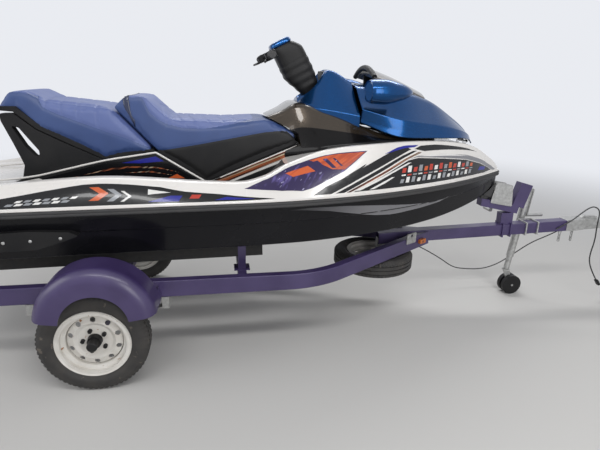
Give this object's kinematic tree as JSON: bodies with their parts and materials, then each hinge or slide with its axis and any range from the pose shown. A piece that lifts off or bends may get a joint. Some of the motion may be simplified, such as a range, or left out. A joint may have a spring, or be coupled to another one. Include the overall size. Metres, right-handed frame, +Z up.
{
  "type": "personal watercraft",
  "caption": "Jet-drive personal watercraft with a two-person saddle, parked on a two-wheel bunk trailer with a winch post and tongue jack.",
  "frame": {"origin": "centre of the base of the bounding box, on the floor under the trailer", "axes": "+X towards the bow and the coupler, +Y to port, +Z up"},
  "size_m": [4.2532, 1.55, 1.7425],
  "materials": {
    "hull_shell": "gloss gelcoat",
    "white_shell": "gloss gelcoat with printed stripes",
    "dark_shell": "gloss metallic dark bronze",
    "blue_shell": "metallic blue",
    "seat_blue": "textured marine vinyl, blue and black",
    "black_plastic": "satin moulded plastic",
    "bumper_rubber": "extruded rubber",
    "grip_rubber": "moulded rubber",
    "mirror_face": "mirror",
    "engine_metal": "cast",
    "jet_metal": "cast, anodised",
    "impeller_steel": "polished",
    "bright_steel": "polished",
    "trailer_paint": "worn purple paint",
    "galvanised": "zinc plated",
    "carpet": "black bunk carpet",
    "tyre_rubber": "tyre rubber",
    "wheel_white": "white, rust at the edges",
    "lens_red": "lens",
    "lens_amber": "lens",
    "stop_rubber": "moulded rubber",
    "cord_black": "insulated wire"
  },
  "bodies": {
    "trailer": {"hood_hinge": "bright_steel", "rail_brackets": "galvanised", "hull": "hull_shell", "engine": "engine_metal", "bumper": "bumper_rubber", "deck": "white_shell", "seat_front": "seat_blue", "seat_rear": "seat_blue", "seat_base": "black_plastic", "cowl": "dark_shell", "storage_bin": "black_plastic", "console": "blue_shell", "gauges": "black_plastic", "sponsons": "black_plastic", "pump_housing": "jet_metal", "ride_plate": "jet_metal", "intake_grate": "jet_metal", "tow_eyes": "bright_steel", "tongue": "trailer_paint", "rail_left": "trailer_paint", "rail_right": "trailer_paint", "crossbeams": "trailer_paint", "axle": "trailer_paint", "springs": "galvanised", "fenders": "trailer_paint", "bunks": "carpet", "bunk_brackets": "trailer_paint", "tail_lamps": "lens_red", "side_markers": "lens_amber", "winch_post": "trailer_paint", "winch": "galvanised", "bow_stop": "stop_rubber", "coupler": "galvanised", "safety_chains": "galvanised", "jack_bracket": "galvanised", "spare_tyre": "tyre_rubber", "spare_rim": "wheel_white", "spare_carrier": "galvanised", "wire": "cord_black", "lead": "cord_black", "plug": "cord_black"},
    "helm": {"steering_neck": "black_plastic", "handlebar": "black_plastic", "grips": "grip_rubber"},
    "steering_nozzle": {"nozzle": "jet_metal"},
    "gate": {"reverse_gate": "black_plastic"},
    "impeller": {"impeller": "impeller_steel"},
    "hood": {"hood": "blue_shell", "visor": "black_plastic", "mirror_pods": "blue_shell", "mirror_glass": "mirror_face"},
    "wheel_left": {"tyre_left": "tyre_rubber", "rim_left": "wheel_white", "hub_left": "black_plastic"},
    "wheel_right": {"tyre_right": "tyre_rubber", "rim_right": "wheel_white", "hub_right": "black_plastic"},
    "jack": {"jack": "galvanised"},
    "caster": {"caster_fork": "galvanised"},
    "caster_wheels": {"caster_wheels": "black_plastic"}
  },
  "joints": [
    {"name": "steering", "type": "hinge", "parent": "trailer", "child": "helm", "pos_m": [-0.12538, 0, 1.45609], "axis": [-0.4633, 0, 0.8862], "range_deg": [-25, 25]},
    {"name": "nozzle_turn", "type": "hinge", "parent": "trailer", "child": "steering_nozzle", "pos_m": [-1.997, 0, 0.64012], "axis": [-0.0244, 0, 0.9997], "range_deg": [-20, 20]},
    {"name": "reverse_gate", "type": "hinge", "parent": "trailer", "child": "gate", "pos_m": [-1.97801, 0, 0.64058], "axis": [0, -1, 0], "range_deg": [0, 66]},
    {"name": "impeller_spin", "type": "hinge", "parent": "trailer", "child": "impeller", "pos_m": [-1.84305, 0, 0.64388], "axis": [0.9997, 0, 0.0244], "continuous": true},
    {"name": "hood_hinge", "type": "hinge", "parent": "trailer", "child": "hood", "pos_m": [0.89975, 0, 1.17705], "axis": [0, 1, 0], "range_deg": [0, 45]},
    {"name": "wheel_left_spin", "type": "hinge", "parent": "trailer", "child": "wheel_left", "pos_m": [-1.3, 0.66, 0.265], "axis": [0, 1, 0], "continuous": true},
    {"name": "wheel_right_spin", "type": "hinge", "parent": "trailer", "child": "wheel_right", "pos_m": [-1.3, -0.66, 0.265], "axis": [0, 1, 0], "continuous": true},
    {"name": "jack_swing", "type": "hinge", "parent": "trailer", "child": "jack", "pos_m": [1.502, 0.1, 0.556], "axis": [0, 1, 0], "range_deg": [0, 90]},
    {"name": "caster_swivel", "type": "hinge", "parent": "jack", "child": "caster", "pos_m": [1.46416, 0.1, 0.196], "axis": [0.1045, 0, 0.9945], "continuous": true},
    {"name": "caster_roll", "type": "hinge", "parent": "caster", "child": "caster_wheels", "pos_m": [1.51016, 0.1, 0.074], "axis": [0, 1, 0], "continuous": true}
  ],
  "couplings": [
    {"joint": "nozzle_turn", "follows": "steering", "ratio": -0.8}
  ]
}
